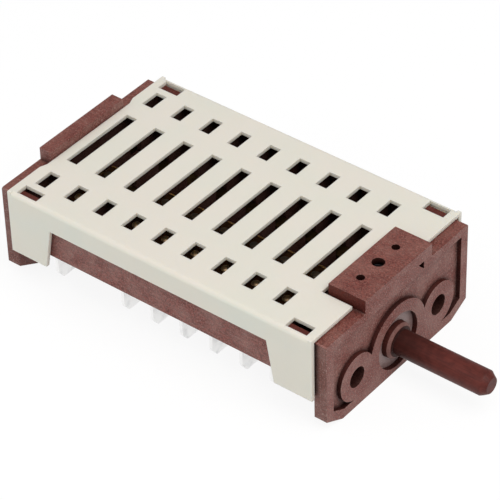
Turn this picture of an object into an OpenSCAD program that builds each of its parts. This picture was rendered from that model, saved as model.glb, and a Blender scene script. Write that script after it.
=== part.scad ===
// Oven selector switch: a cam switch in a moulded case with a slotted clip-on cover.
// The X axis is the control shaft's own axis and points out of the oven's panel. Z is up.
// The origin lies on that axis, in the front mounting face.

/* [Rows] */
// Distance between the centres of neighbouring switching rows
row_pitch = 7.87; // [7.4:0.01:8.6]
// Distance from the mounting face to the centre of the front row
first_row = 15.29; // [15:0.01:17]
// Thickness of the walls between the rows
row_wall = 1.2; // [0.8:0.1:1.4]

/* [End plates] */
// Width of both end plates
plate_width = 48.3; // [46:0.1:54]
// Height of the end plates' top edge above the shaft axis
plate_top = 14.8; // [14.6:0.1:18]
// Depth of the end plates' foot below the shaft axis
plate_foot = 7.7; // [7.5:0.1:9]
// Thickness of the front plate
plate_t = 3.1; // [2.8:0.1:4]
// Thickness of the rear wall
rear_t = 3.3; // [3:0.1:5]
// Radius of the plates' top corners
plate_corner = 0.5; // [0.3:0.1:3]
// Width of the slanted cut at each foot corner
foot_cut_w = 5.3; // [2:0.1:6]
// Height of the slanted cut at each foot corner
foot_cut_h = 2.7; // [1:0.1:4]
// Width of the raised rim round the front face
rim_w = 2.3; // [1.5:0.1:3]
// Width of that rim along the top edge
top_rim = 2; // [1.5:0.1:3]
// Depth of the field inside that rim
field_depth = 1.1; // [0.5:0.1:1.3]

/* [Tabs] */
// Width of the front tab, which is the detent's housing
tab_width = 22.6; // [20:0.1:26]
// Height of the front tab above the end plates
tab_rise = 3.3; // [2:0.1:5]
// Length of the front tab, from the mounting face to the rear
tab_length = 9.2; // [9:0.1:10]
// Thickness of the tab's roof over the detent spring
roof_t = 1.3; // [1:0.1:2]
// Width of the rear tab
rear_tab_width = 23.7; // [18:0.1:26]
// Height of the rear tab above the end plates
rear_tab_rise = 3; // [2:0.1:5]
// Thickness of the rear tab
rear_tab_t = 3.1; // [1.5:0.1:3.2]
// Depth of the detent's housing below the tab's top
housing_depth = 9.1; // [8.5:0.1:9.5]
// Distance from the mounting face to the row of holes in the tab's top
tab_hole_x = 5.2; // [5:0.05:5.4]
// Distance between the two small holes in the tab's top
tab_hole_spacing = 11.9; // [9:0.1:16]
// Diameter of the small holes in the tab's top
tab_hole_d = 1.8; // [1:0.1:2.4]
// Depth of the small holes in the tab's top
tab_hole_depth = 5; // [2:0.5:7]
// Diameter of the hole above the detent spring
vent_d = 2.8; // [1.6:0.1:3]
// Size of the three-sided pocket in the tab's front
mark_size = 1.9; // [1:0.1:2.2]
// Height of the pocket's top above the end plates
mark_rise = 0.4; // [0.2:0.1:1]
// Distance from the middle of the tab to the pocket's far edge
mark_y = 8.6; // [5:0.1:10]
// Depth of the pocket
mark_depth = 1.2; // [0.3:0.1:1.6]

/* [Panel fixing] */
// Distance between the two screw holes
screw_spacing = 28; // [26:0.5:30]
// Diameter of the screw holes
screw_d = 4.8; // [3.6:0.1:5]
// Diameter of the bosses round the screw holes
screw_boss_d = 11; // [8:0.1:12]
// Diameter of the screw sockets behind the front plate
socket_d = 8.6; // [7:0.1:9]
// Length of the screw sockets
socket_l = 6.5; // [4:0.1:7]
// Thickness of the sockets' closed ends
socket_end = 1; // [0.8:0.1:2]
// Diameter of the boss round the shaft
shaft_boss_d = 18.8; // [16:0.1:20]
// Diameter of the cup in that boss
cup_d = 13.2; // [11:0.1:14]
// Depth of the cup
cup_depth = 1.2; // [0.8:0.1:1.6]

/* [Shaft] */
// Diameter of the shaft's spigot
shaft_d = 5.7; // [5:0.1:6.2]
// Distance that the spigot stands out of the mounting face
shaft_out = 23; // [15:0.1:32]
// Length of the taper at the spigot's tip
tip_length = 1.5; // [0.5:0.1:3]
// Depth of the taper at the spigot's tip
tip_depth = 1; // [0.3:0.1:1.4]
// Height over the flat that turns the knob
shaft_flat = 4.8; // [4.8:0.1:5]
// Length of that flat, from the tip
flat_length = 10; // [6:0.5:14]
// Diameter of the collar that turns in the front plate
collar_d = 8.2; // [7.4:0.1:9]
// Distance that the collar stands out of the mounting face
collar_out = 0.55; // [0.1:0.05:2]
// Size of the chamfer round the collar's front
collar_chamfer = 0.6; // [0.2:0.1:0.8]
// Diameter of the flange behind the front plate
flange_d = 11; // [10:0.1:12]
// Thickness of that flange
flange_t = 0.5; // [0.4:0.1:0.6]
// Width over the flats of the hexagonal core
core_flats = 5; // [4.4:0.1:5.4]
// Diameter of the rear journal
journal_d = 4.8; // [4:0.1:5]
// Length of the rear journal in its bearing
journal_l = 2; // [1:0.1:2.2]
// Radial clearance of both bearings
bearing_gap = 0.05; // [0.02:0.01:0.08]
// Play between the shaft and the end walls
end_play = 0.15; // [0.1:0.05:0.3]

/* [Cams] */
// Diameter of the cams
cam_d = 12.2; // [11.6:0.1:12.4]
// Depth of the cams' notches
notch_depth = 1.2; // [0.8:0.1:1.3]
// Width of each of a cam's two tracks
track_w = 2.9; // [2.4:0.1:3]
// Diameter of the cams' hubs and of the spacers
hub_d = 8.4; // [7.6:0.1:9]
// Clearance round the hexagonal core
key_gap = 0.04; // [0.02:0.01:0.1]
// Clearance between the cams and the case
cam_gap = 0.5; // [0.4:0.1:0.6]

/* [Detent] */
// Thickness of the detent wheel
wheel_t = 3; // [2.6:0.1:3.4]
// Depth of the valleys in the detent wheel
valley_depth = 0.9; // [0.6:0.1:1]
// Radius of each valley
valley_r = 1.3; // [1.1:0.05:1.4]
// Diameter of the detent plunger
plunger_d = 4; // [3.4:0.1:4.2]
// Length of the plunger's guided part
plunger_l = 3.6; // [3:0.1:4]
// Clearance at rest where the detent's pieces and the terminals bear on others
seat_gap = 0.05; // [0.02:0.01:0.08]
// Diameter of the spring's wire
wire_d = 0.45; // [0.3:0.05:0.6]
// Turns of the detent spring
spring_turns = 6; // [4:1:8]

/* [Case] */
// Thickness of the case's side walls
case_wall = 1.5; // [1:0.1:2]
// Thickness of the floor under the contacts
floor_t = 1.5; // [1:0.1:2]
// Height of the case's underside above the shaft axis
floor_z = 2.4; // [2:0.1:3]
// Seam between the case and the front plate
seam = 0.05; // [0.02:0.01:0.2]
// Distance that the case's sides stand back from the end plates' edges
case_step = 0.15; // [0:0.05:0.5]
// Distance from the end plates' top edge down to the top of the case's walls
wall_drop = 1.9; // [1.6:0.1:2.4]
// Thickness of the trough's sides below the floor
trough_wall = 1.3; // [1:0.1:2]
// Thickness of the wall behind the last row, in front of the rear wall
last_wall = 0.5; // [0.3:0.1:1]
// Length that the posts under the cover's corners have beyond the corner slots
post_extra = 1.5; // [1:0.1:2]
// Distance from the rear wall to the rear posts
post_inset = 0.6; // [0.2:0.1:1]
// Length of the tongues that locate the front plate inside the case
tongue_l = 3; // [2:0.5:4]
// Thickness of those tongues
tongue_t = 1.4; // [1:0.1:1.6]

/* [Cover] */
// Thickness of the cover
cover_t = 0.9; // [0.8:0.1:1.2]
// Clearance between the cover and the end plates' sides
cover_gap = 0.45; // [0.2:0.05:0.6]
// Height of the cover's underside above the end plates' top edges
cover_lift = 0.3; // [0.1:0.05:0.5]
// Radius of the cover's long upper edges
cover_edge = 1.1; // [0.3:0.1:1.4]
// Length of the square-edged rim at both ends of the cover
end_rim = 0.8; // [0.4:0.1:1.2]
// Distance that the cover's ends reach over the end plates
cover_lap = 0.45; // [0.2:0.05:1]
// Depth of the cover's skirt, from its top
skirt_depth = 5.5; // [4:0.1:8]
// Distance that the cover's legs reach below the case's underside
leg_reach = 2.2; // [1.6:0.1:3]
// Width of the cover's legs at their foot
leg_foot = 9.6; // [7:0.1:12]
// Width of the cover's legs at the skirt
leg_top = 11.4; // [8:0.1:14]
// Distance that the legs' hooks catch under the case
hook_reach = 0.8; // [0.4:0.1:1.2]
// Distance from the legs' edges to their hooks
hook_inset = 1; // [0.5:0.1:2]
// Width of the slots in the cover
slot_w = 2.83; // [1.5:0.01:3.5]
// Length of the long slots
long_slot = 19.9; // [14:0.1:24]
// Length of the short slots
short_slot = 5; // [3:0.1:6]
// Distance from the cover's sides to its short slots
short_slot_edge = 5.55; // [5:0.05:8]
// Length of the corner slots
corner_slot = 5.3; // [3:0.1:6]
// Width of the corner slots
corner_slot_w = 2.9; // [1.5:0.1:3]
// Distance from each end of the cover to the near end of its corner slots
corner_slot_inset = 1.9; // [1.5:0.1:4]
// Distance from the cover's sides to its corner slots
corner_slot_edge = 1; // [1:0.05:3]
// Clearance between the cover and the sides of the front tab
notch_gap = 0.8; // [0.2:0.1:1.5]
// Clearance between the cover and the rear of the front tab
notch_rear_gap = 1.1; // [0.2:0.1:1.5]
// Clearance between the cover and the front face of the rear tab
rear_notch_gap = 0.4; // [0.1:0.05:0.8]
// Distance from the sides of the rear tab to the notch's corners
rear_notch_side = 1.6; // [0.5:0.1:3]
// Width of the slant at both ends of the rear notch
rear_notch_slant = 1.8; // [0.5:0.1:3]

/* [Terminals] */
// Width of the terminal blades
blade_w = 6.3; // [4.8:0.1:6.5]
// Thickness of the terminal blades
blade_t = 0.8; // [0.5:0.1:1]
// Length of the blades below the case
blade_out = 8; // [6:0.1:9]
// Distance from the case's side to the blades
blade_inset = 2; // [1.6:0.1:3]
// Distance that a blade stands off its row's centre
blade_shift = 0.35; // [0:0.05:0.6]
// Distance that the blade of the left rear terminal stands off its row's centre
cranked_shift = 2.8; // [1.4:0.05:2.9]
// Width of the slant at a blade's tip
blade_tip_w = 1.5; // [0.5:0.1:2]
// Height of the slant at a blade's tip
blade_tip_h = 2; // [0.5:0.1:3]
// Height of a blade's shoulder above the floor
shoulder_h = 2; // [1:0.1:3]
// Clearance round the blades in the floor
blade_gap = 0.1; // [0.05:0.05:0.2]
// Length of the shelf that carries a contact spring
shelf_l = 6.2; // [5:0.1:7]
// Distance that the shelf reaches out over its blade
shelf_reach = 3.7; // [2.8:0.1:5]

/* [Contacts] */
// Thickness of the contact springs
leaf_t = 0.3; // [0.2:0.05:0.4]
// Width of the contact springs
leaf_w = 2.8; // [2:0.1:3]
// Height of the contact springs' underside above the shaft axis
leaf_z = 12.4; // [12.2:0.1:12.6]
// Clearance between a contact spring's foot and its cam
foot_gap = 0.1; // [0.05:0.05:0.2]
// Radius of the contact springs' feet
foot_r = 0.8; // [0.6:0.1:1]
// Distance from the shaft axis to the line of contacts
contact_y = 5.5; // [5:0.1:6.5]
// Opening between the contacts
contact_gap = 0.7; // [0.4:0.1:0.9]
// Diameter of the silver contacts
contact_d = 2.2; // [1.6:0.1:2.4]
// Height of the silver contacts
contact_h = 0.4; // [0.3:0.1:0.6]
// Width of the bus bars
bus_w = 3.4; // [3:0.1:3.6]
// Thickness of the bus bars
bus_t = 0.8; // [0.6:0.1:1]
// Width of the arms from the bus bars to their blades
arm_w = 3; // [2:0.1:3.2]
// Diameter of the rivets' shanks
shank_d = 1; // [0.8:0.1:1.2]
// Diameter of the rivets' heads
rivet_d = 2; // [1.6:0.1:2.2]
// Diameter of the rivets' closed lower ends
tail_d = 1.5; // [1.2:0.1:1.5]
// Distance from the shelf's inner edge to the rivet
rivet_inset = 1.8; // [1.5:0.1:2.2]

/* [Hidden] */
$fn = 64;
// Distance that cuts run past the faces that they open
past = 1;
// Overlap of the solids that one piece is drawn from
join = 0.01;
row_count = 9;
// Rows that have contacts, counted from the front, and the row whose left terminal is cranked
contact_rows = [1, 2, 3, 4, 5, 6, 8];
cranked_row = 8;
// Rows that have none, where the bus bars leave the case
bus_rows = [7, 9];
sides = ["left", "right"];
positions = 12;
position_angle = 360 / positions;
// Switch positions in which each track's contact is closed, in the order of contact_rows
left_program = [[1, 2, 3], [2, 5], [4, 5, 6], [3, 7], [6, 8, 9], [9, 10], [1, 2, 3, 4, 5, 6, 7, 8, 9, 10]];
right_program = [[2, 3], [1, 6], [5, 7], [8], [4, 9, 10], [7, 10], [1, 2, 3, 4, 5, 6, 7, 8, 9, 10]];

half_plate = plate_width / 2;
half_case = half_plate - case_step;
half_cover_in = half_plate + cover_gap;
half_cover = half_cover_in + cover_t;
rim_edge = 0.2;
cover_low = plate_top + cover_lift;
cover_top = cover_low + cover_t;
tab_top = plate_top + tab_rise;
half_tab = tab_width / 2;
half_rear_tab = rear_tab_width / 2;

// Planes along the shaft, counted from the mounting face to the rear
function row_x(i) = -first_row - (i - 1) * row_pitch;
case_rear = row_x(row_count) - row_pitch / 2 + row_wall / 2 - last_wall;
rear_face = case_rear - rear_t;
chamber_rear = row_x(1) + row_pitch / 2;
cover_front = -plate_t + cover_lap;
cover_rear = case_rear - cover_lap;

cam_r = cam_d / 2;
bore_r = cam_r + cam_gap;
half_trough = bore_r + trough_wall;
floor_top = floor_z + floor_t;
wall_top = plate_top - wall_drop;
pocket_l = row_pitch - row_wall;
half_pocket = half_case - case_wall;
tongue_gap = 0.1;
tongue_top = wall_top - 1;
hook_gap = 0.1;

// Small gaps between the pieces on the core, and between a cam's two tracks and its middle
hub_gap = 0.1;
track_gap = 0.1;
hub_l = row_pitch - hub_gap;
wheel_front = -plate_t - end_play - flange_t - hub_gap / 2;
wheel_rear = wheel_front - wheel_t;

// The detent: a ball-ended plunger in the tab's housing, with a spring on top of it
valley_floor = cam_r - valley_depth;
nose_gap = 0.1;
nose_r = valley_r - nose_gap;
nose_z = valley_floor + seat_gap + nose_r;
plunger_z = nose_z + nose_r;
plunger_top = plunger_z + plunger_l;
plunger_taper = 0.5;
plunger_bore_r = plunger_d / 2 + bearing_gap;
bore_roof = tab_top - roof_t;
spring_gap = 0.15;
spring_r = plunger_d / 2 - wire_d / 2 - spring_gap;

// The contact springs and what they work on
leaf_over_blade = 0.55;
leaf_x = blade_shift + blade_t / 2 + leaf_w / 2 - leaf_over_blade;
shelf_top = leaf_z;
contact_top = leaf_z - contact_h - contact_gap;
bus_top = contact_top - contact_h;
bus_z = bus_top - bus_t;
half_foot_gap = 0.1;
foot_y = foot_r + leaf_t / 2 + half_foot_gap;
foot_end = 350;
blade_outer = half_case - blade_inset;
blade_inner = blade_outer - blade_w;
shelf_outer = blade_inner + shelf_reach;
shelf_inner = shelf_outer - shelf_l;
rivet_y = shelf_inner + rivet_inset;
rivet_gap = 0.02;
rivet_head_h = 0.5;
contact_head_h = 0.3;
bus_gap = 0.1;
bus_end_gap = 0.3;

// Colours
brown = "#8a5248";
shaft_brown = "#5a2c27";
cream = "#e2ddd0";
dark_brown = "#4a2f2a";
tin = "#c9ccce";
bronze = "#b98545";
silver = "#dfe2e4";
steel = "#9fa3a6";

// Shapes used by several pieces

// Puts its children, drawn with x as height, at a place along the shaft
module along_x(x0) {
    translate([x0, 0, 0]) rotate([90, 0, 90]) children();
}

module rod_x(x0, x1, d) {
    translate([min(x0, x1), 0, 0]) rotate([0, 90, 0]) cylinder(h = abs(x1 - x0), d = d);
}

module rod_z(x, y, z0, z1, d) {
    translate([x, y, min(z0, z1)]) cylinder(h = abs(z1 - z0), d = d);
}

module block(x0, x1, y0, y1, z0, z1) {
    translate([min(x0, x1), min(y0, y1), min(z0, z1)]) cube([abs(x1 - x0), abs(y1 - y0), abs(z1 - z0)]);
}

module hexagon_x(x0, x1, flats) {
    translate([min(x0, x1), 0, 0]) rotate([0, 90, 0])
        cylinder(h = abs(x1 - x0), d = flats / cos(30), $fn = 6);
}

// Turns what is drawn for the left side (towards -Y) to its place on a row's side
module at_row(i, side) {
    translate([row_x(i), 0, 0]) rotate([0, 0, side == "left" ? 0 : 180]) children();
}

function arc(centre, r, from, to, steps = 8) =
    [for (k = [0 : steps]) let (a = from + (to - from) * k / steps) centre + r * [cos(a), sin(a)]];

function unit(v) = v / norm(v);

// Offset of a bent strip's face at point i of its middle line, for a thickness of 1
function mitre(path, i) =
    let (
        n = len(path),
        before = unit(path[max(i, 1)] - path[max(i, 1) - 1]),
        after = unit(path[min(i, n - 2) + 1] - path[min(i, n - 2)]),
        along = unit(before + after)
    ) [-along.y, along.x] / (2 * (before * along));

function strip_outline(path, t) = concat(
    [for (i = [0 : len(path) - 1]) path[i] + t * mitre(path, i)],
    [for (i = [len(path) - 1 : -1 : 0]) path[i] - t * mitre(path, i)]
);

// Outline of both end plates, as seen from the front
module plate_outline() {
    polygon(concat(
        [[-half_plate, -plate_foot + foot_cut_h], [-half_plate + foot_cut_w, -plate_foot]],
        [[half_plate - foot_cut_w, -plate_foot], [half_plate, -plate_foot + foot_cut_h]],
        arc([half_plate - plate_corner, plate_top - plate_corner], plate_corner, 0, 90),
        arc([-half_plate + plate_corner, plate_top - plate_corner], plate_corner, 90, 180)
    ));
}

// Field inside the front plate's raised rim
module field_outline() {
    slope = foot_cut_h / foot_cut_w;
    rise = rim_w * (sqrt(1 + slope * slope) - slope);
    run = rim_w * (sqrt(1 + slope * slope) - 1) / slope;
    polygon([
        [-half_plate + rim_w, -plate_foot + foot_cut_h + rise],
        [-half_plate + foot_cut_w + run, -plate_foot + rim_w],
        [half_plate - foot_cut_w - run, -plate_foot + rim_w],
        [half_plate - rim_w, -plate_foot + foot_cut_h + rise],
        [half_plate - rim_w, plate_top - top_rim],
        [-half_plate + rim_w, plate_top - top_rim]
    ]);
}

// Case

// Openings in the floor for one row's terminals, and in the walls for the bus bars
module blade_opening(shift) {
    block(-shift - blade_t / 2 - blade_gap, -shift + blade_t / 2 + blade_gap,
        -blade_outer - blade_gap, -blade_inner + blade_gap, floor_z - past, floor_top + past);
}

module case_outside() {
    block(case_rear - join, -plate_t - seam, -half_case, half_case, floor_z, wall_top);
    block(case_rear - join, -plate_t - seam, -half_trough, half_trough, -plate_foot, floor_z + join);
    along_x(rear_face) linear_extrude(rear_t) plate_outline();
    block(rear_face, rear_face + rear_tab_t, -half_rear_tab, half_rear_tab,
        plate_top - join, plate_top + rear_tab_rise);
    corner_posts();
    screw_sockets();
}

// Posts that the cover's corners rest on
module corner_posts() {
    post_l = corner_slot + post_extra;
    for (s = [-1, 1], x = [case_rear + post_inset, -plate_t - seam - post_l])
        block(x, x + post_l, s * half_case, s * half_pocket, floor_top, cover_low);
}

// Sockets under the floor, in line with the front plate's screw holes
module screw_sockets() {
    front = -plate_t - seam;
    for (s = [-1, 1]) translate([0, s * screw_spacing / 2, 0]) {
        rod_x(front, front - socket_l, socket_d);
        block(front, front - socket_l, -socket_d / 2, socket_d / 2, 0, floor_z + join);
    }
}

module case_base() color(brown) difference() {
    case_outside();
    for (i = [1 : row_count])
        block(row_x(i) - pocket_l / 2, row_x(i) + pocket_l / 2, -half_pocket, half_pocket,
            floor_top, plate_top + past);
    block(chamber_rear + row_wall / 2, 0, -half_pocket, half_pocket, floor_top, plate_top + past);
    rod_x(case_rear + join, 0, 2 * bore_r);
    rod_x(case_rear + past, case_rear - journal_l - end_play, journal_d + 2 * bearing_gap);
    for (s = [-1, 1]) translate([0, s * screw_spacing / 2, 0])
        rod_x(0, socket_end - plate_t - seam - socket_l, screw_d);
    for (i = contact_rows) {
        at_row(i, "left") blade_opening(i == cranked_row ? cranked_shift : blade_shift);
        at_row(i, "right") blade_opening(blade_shift);
    }
    for (i = bus_rows) at_row(i, "right") blade_opening(blade_shift);
    for (s = [-1, 1])
        block(row_x(row_count) - pocket_l / 2, row_x(1) + pocket_l / 2,
            s * (contact_y - bus_w / 2 - bus_gap), s * (contact_y + bus_w / 2 + bus_gap),
            bus_z, plate_top + past);
}

// Front plate with the detent's housing

module front_plate() color(brown) difference() {
    union() {
        along_x(-plate_t) linear_extrude(plate_t) plate_outline();
        block(-tab_length, 0, -half_tab, half_tab, plate_top - join, tab_top);
        block(-tab_length, -plate_t + join, -half_tab, half_tab, tab_top - housing_depth, tab_top);
        locating_tongues();
    }
    front_field();
    rod_x(-cup_depth, past, cup_d);
    rod_x(-plate_t - past, past, collar_d + 2 * bearing_gap);
    for (s = [-1, 1]) translate([0, s * screw_spacing / 2, 0]) rod_x(-plate_t - past, past, screw_d);
    for (s = [-1, 1])
        rod_z(-tab_hole_x, s * tab_hole_spacing / 2, tab_top - tab_hole_depth, tab_top + past, tab_hole_d);
    rod_z(-tab_hole_x, 0, bore_roof - past, tab_top + past, vent_d);
    rod_z(-tab_hole_x, 0, tab_top - housing_depth - past, bore_roof, 2 * plunger_bore_r);
    position_mark();
}

// Recessed field of the front face, with the bosses and what joins them below left standing in it
module front_field() {
    along_x(-field_depth) linear_extrude(field_depth + past) difference() {
        field_outline();
        circle(d = shaft_boss_d);
        for (s = [-1, 1]) translate([s * screw_spacing / 2, 0]) circle(d = screw_boss_d);
        translate([-screw_spacing / 2, -plate_foot]) square([screw_spacing, plate_foot]);
    }
}

// Tongues that slide inside the case's side walls
module locating_tongues() {
    for (s = [-1, 1])
        block(-plate_t - tongue_l, -plate_t + join, s * (half_pocket - tongue_gap),
            s * (half_pocket - tongue_gap - tongue_t), floor_top + 2 * tongue_gap, tongue_top);
}

// Small three-sided pocket in the tab's front face
module position_mark() {
    mark_top = plate_top + mark_rise;
    along_x(-mark_depth) linear_extrude(mark_depth + past)
        polygon([[mark_y, mark_top], [mark_y - mark_size, mark_top], [mark_y, mark_top - mark_size]]);
}

// Cover

// The cover between two places along it, with the inside left open below
module cover_stretch(x0, x1, edge) {
    bottom = floor_z - leg_reach;
    along_x(x0) linear_extrude(x1 - x0) difference() {
        polygon(concat(
            [[-half_cover, bottom], [half_cover, bottom]],
            arc([half_cover - edge, cover_top - edge], edge, 0, 90),
            arc([-half_cover + edge, cover_top - edge], edge, 90, 180)
        ));
        translate([-half_cover_in, bottom - past]) square([2 * half_cover_in, cover_low - bottom + past]);
    }
}

// Side window between the legs, which leaves the skirt above it
module leg_window() {
    z1 = cover_top - skirt_depth;
    z0 = floor_z - leg_reach - past;
    slope = (leg_top - leg_foot) / (z1 - floor_z + leg_reach);
    translate([0, half_cover + past, 0]) rotate([90, 0, 0]) linear_extrude(2 * (half_cover + past)) polygon([
        [cover_rear + leg_foot - slope, z0], [cover_front - leg_foot + slope, z0],
        [cover_front - leg_top, z1], [cover_rear + leg_top, z1]
    ]);
}

module cover_slots() {
    for (i = [1 : row_count]) {
        block(row_x(i) - slot_w / 2, row_x(i) + slot_w / 2, -long_slot / 2, long_slot / 2,
            plate_top - past, cover_top + past);
        for (s = [-1, 1])
            block(row_x(i) - slot_w / 2, row_x(i) + slot_w / 2,
                s * (half_cover - short_slot_edge), s * (half_cover - short_slot_edge - short_slot),
                plate_top - past, cover_top + past);
    }
    for (s = [-1, 1], x = [cover_rear + corner_slot_inset, cover_front - corner_slot_inset - corner_slot])
        block(x, x + corner_slot,
            s * (half_cover - corner_slot_edge), s * (half_cover - corner_slot_edge - corner_slot_w),
            plate_top - past, cover_top + past);
}

// Notch for the rear tab, with slanted ends
module rear_notch() {
    depth_x = rear_face + rear_tab_t + rear_notch_gap;
    half_in = half_rear_tab + rear_notch_side;
    half_out = half_in + rear_notch_slant;
    translate([0, 0, plate_top - past]) linear_extrude(cover_top - plate_top + 2 * past) polygon([
        [cover_rear - past, -half_out], [cover_rear, -half_out], [depth_x, -half_in],
        [depth_x, half_in], [cover_rear, half_out], [cover_rear - past, half_out]
    ]);
}

// Hooks on the legs' feet that catch under the case
module leg_hooks() {
    for (s = [-1, 1], x = [cover_rear + hook_inset, cover_front - leg_foot + hook_inset])
        block(x, x + leg_foot - 2 * hook_inset, s * (half_cover_in + join), s * (half_case - hook_reach),
            floor_z - leg_reach, floor_z - hook_gap);
}

module cover() color(cream) union() {
    difference() {
        union() {
            cover_stretch(cover_rear, cover_front, cover_edge);
            cover_stretch(cover_rear, cover_rear + end_rim, rim_edge);
            cover_stretch(cover_front - end_rim, cover_front, rim_edge);
        }
        leg_window();
        cover_slots();
        block(-tab_length - notch_rear_gap, past, -half_tab - notch_gap, half_tab + notch_gap,
            plate_top - past, cover_top + past);
        rear_notch();
    }
    leg_hooks();
}

// Rotor

module control_shaft() color(shaft_brown) difference() {
    union() {
        rod_x(-plate_t, shaft_out - tip_length, shaft_d);
        translate([shaft_out - tip_length, 0, 0]) rotate([0, 90, 0])
            cylinder(h = tip_length, d1 = shaft_d, d2 = shaft_d - 2 * tip_depth);
        rod_x(-plate_t - end_play - flange_t, collar_out - collar_chamfer, collar_d);
        translate([collar_out - collar_chamfer, 0, 0]) rotate([0, 90, 0])
            cylinder(h = collar_chamfer, d1 = collar_d, d2 = collar_d - 2 * collar_chamfer);
        rod_x(-plate_t - end_play - flange_t, -plate_t - end_play, flange_d);
        hexagon_x(-plate_t - end_play - join, case_rear + end_play, core_flats);
        rod_x(case_rear + end_play + join, case_rear - journal_l, journal_d);
    }
    block(shaft_out - flat_length, shaft_out + past, -shaft_d, shaft_d, -shaft_d, shaft_d / 2 - shaft_flat);
}

module core_bore(x0, x1) {
    hexagon_x(x0 - past, x1 + past, core_flats + 2 * key_gap);
}

// Wheel with a valley for each switch position, and a hub that reaches back to the first cam
module detent_wheel() color(dark_brown) difference() {
    union() {
        rod_x(wheel_rear, wheel_front, cam_d);
        rod_x(chamber_rear + hub_gap / 2, wheel_front, hub_d);
    }
    for (k = [0 : positions - 1]) rotate([k * position_angle, 0, 0])
        translate([0, 0, valley_floor + valley_r]) rod_x(wheel_rear - past, wheel_front + past, 2 * valley_r);
    core_bore(chamber_rear, wheel_front);
}

// Radius of a cam track at an angle: the notches lie at the positions in which its contact is closed
function off_notch(a, program) =
    min([for (p = program, turn = [-360, 0, 360]) abs(a - p * position_angle + turn)]);

function track_r(a, program) =
    let (off = off_notch(a, program), flat = position_angle / 2, ramp = 6)
    cam_r - notch_depth * max(0, min(1, (flat + ramp - off) / ramp));

module track(x, program) {
    step = 3;
    along_x(x) linear_extrude(track_w)
        polygon([for (a = [0 : step : 359]) track_r(a, program) * [-sin(a), cos(a)]]);
}

// A cam with one track for the left contact spring and one for the right
module cam(i, left, right) color(dark_brown) difference() {
    union() {
        rod_x(row_x(i) - hub_l / 2, row_x(i) + hub_l / 2, hub_d);
        track(row_x(i) - track_gap - track_w, left);
        track(row_x(i) + track_gap, right);
    }
    core_bore(row_x(i) - hub_l / 2, row_x(i) + hub_l / 2);
}

module spacer(i) color(dark_brown) {
    rear = i == row_count ? case_rear + 2 * end_play : row_x(i) - hub_l / 2;
    difference() {
        rod_x(rear, row_x(i) + hub_l / 2, hub_d);
        core_bore(rear, row_x(i) + hub_l / 2);
    }
}

// Detent

module detent_plunger() color(steel) translate([-tab_hole_x, 0, 0]) {
    rotate_extrude() polygon(concat(
        [[0, nose_z - nose_r]],
        [for (a = [-80 : 10 : 0]) [nose_r * cos(a), nose_z + nose_r * sin(a)]],
        [[nose_r, plunger_z], [plunger_d / 2, plunger_z + plunger_taper]],
        [[plunger_d / 2, plunger_top], [0, plunger_top]]
    ));
}

// A closed coil spring, swept round its axis in rings of eight points
module detent_spring() color(steel) translate([-tab_hole_x, 0, 0]) {
    sides_n = 8;
    per_turn = 20;
    rings = spring_turns * per_turn;
    low = plunger_top + wire_d / 2 + seat_gap;
    high = bore_roof - wire_d / 2 - seat_gap;
    points = [for (k = [0 : rings], j = [0 : sides_n - 1])
        let (a = 360 * k / per_turn, b = 360 * j / sides_n, r = spring_r + wire_d / 2 * cos(b))
        [r * cos(a), r * sin(a), low + (high - low) * k / rings + wire_d / 2 * sin(b)]];
    walls = [for (k = [0 : rings - 1], j = [0 : sides_n - 1])
        let (n = (j + 1) % sides_n)
        [k * sides_n + j, k * sides_n + n, (k + 1) * sides_n + n, (k + 1) * sides_n + j]];
    ends = [[for (j = [sides_n - 1 : -1 : 0]) j], [for (j = [0 : sides_n - 1]) rings * sides_n + j]];
    polyhedron(points, concat(walls, ends));
}

// Contacts. Each piece is drawn for the left side of a row whose centre is at x = 0.

// Blade, its stem through the floor and the shelf for the contact spring
module terminal(shift) color(tin) {
    x0 = -shift - blade_t / 2;
    low = floor_z - blade_out;
    difference() {
        union() {
            along_x(x0) linear_extrude(blade_t) polygon([
                [-blade_outer, low + blade_tip_h], [-blade_outer + blade_tip_w, low],
                [-blade_inner - blade_tip_w, low], [-blade_inner, low + blade_tip_h],
                [-blade_inner, floor_top + seat_gap], [-shelf_inner, floor_top + seat_gap],
                [-shelf_inner, shelf_top], [-shelf_outer, shelf_top],
                [-shelf_outer, floor_top + shoulder_h], [-blade_outer, floor_top + shoulder_h]
            ]);
            block(min(x0, -leaf_x - leaf_w / 2), max(x0 + blade_t, -leaf_x + leaf_w / 2),
                -shelf_outer, -shelf_inner, shelf_top - blade_t, shelf_top);
        }
        rod_z(-leaf_x, -rivet_y, shelf_top - blade_t - past, shelf_top + past, shank_d + 2 * rivet_gap);
    }
}

// Middle line of a contact spring: level from the shelf, then down to a round foot on the cam
function leaf_path() =
    let (mid = leaf_z + leaf_t / 2, foot_z = cam_r + foot_gap + leaf_t / 2 + foot_r, bend = 1)
    concat(
        [[-shelf_outer, mid]],
        arc([-foot_y - foot_r - bend, mid - bend], bend, 90, 0, 4),
        arc([-foot_y, foot_z], foot_r, 180, foot_end)
    );

module contact_spring() color(bronze) difference() {
    along_x(-leaf_x - leaf_w / 2) linear_extrude(leaf_w) polygon(strip_outline(leaf_path(), leaf_t));
    for (y = [rivet_y, contact_y]) rod_z(-leaf_x, -y, leaf_z - past, leaf_z + past, shank_d + 2 * rivet_gap);
}

module moving_contact() color(silver) {
    rod_z(-leaf_x, -contact_y, leaf_z - contact_h, leaf_z, contact_d);
    rod_z(-leaf_x, -contact_y, leaf_z - join, leaf_z + leaf_t + join, shank_d);
    rod_z(-leaf_x, -contact_y, leaf_z + leaf_t, leaf_z + leaf_t + contact_head_h, rivet_d);
}

module fixed_contact() color(silver) {
    rod_z(-leaf_x, -contact_y, bus_top, bus_top + contact_h, contact_d);
    rod_z(-leaf_x, -contact_y, bus_z, bus_top + join, shank_d);
}

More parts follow.
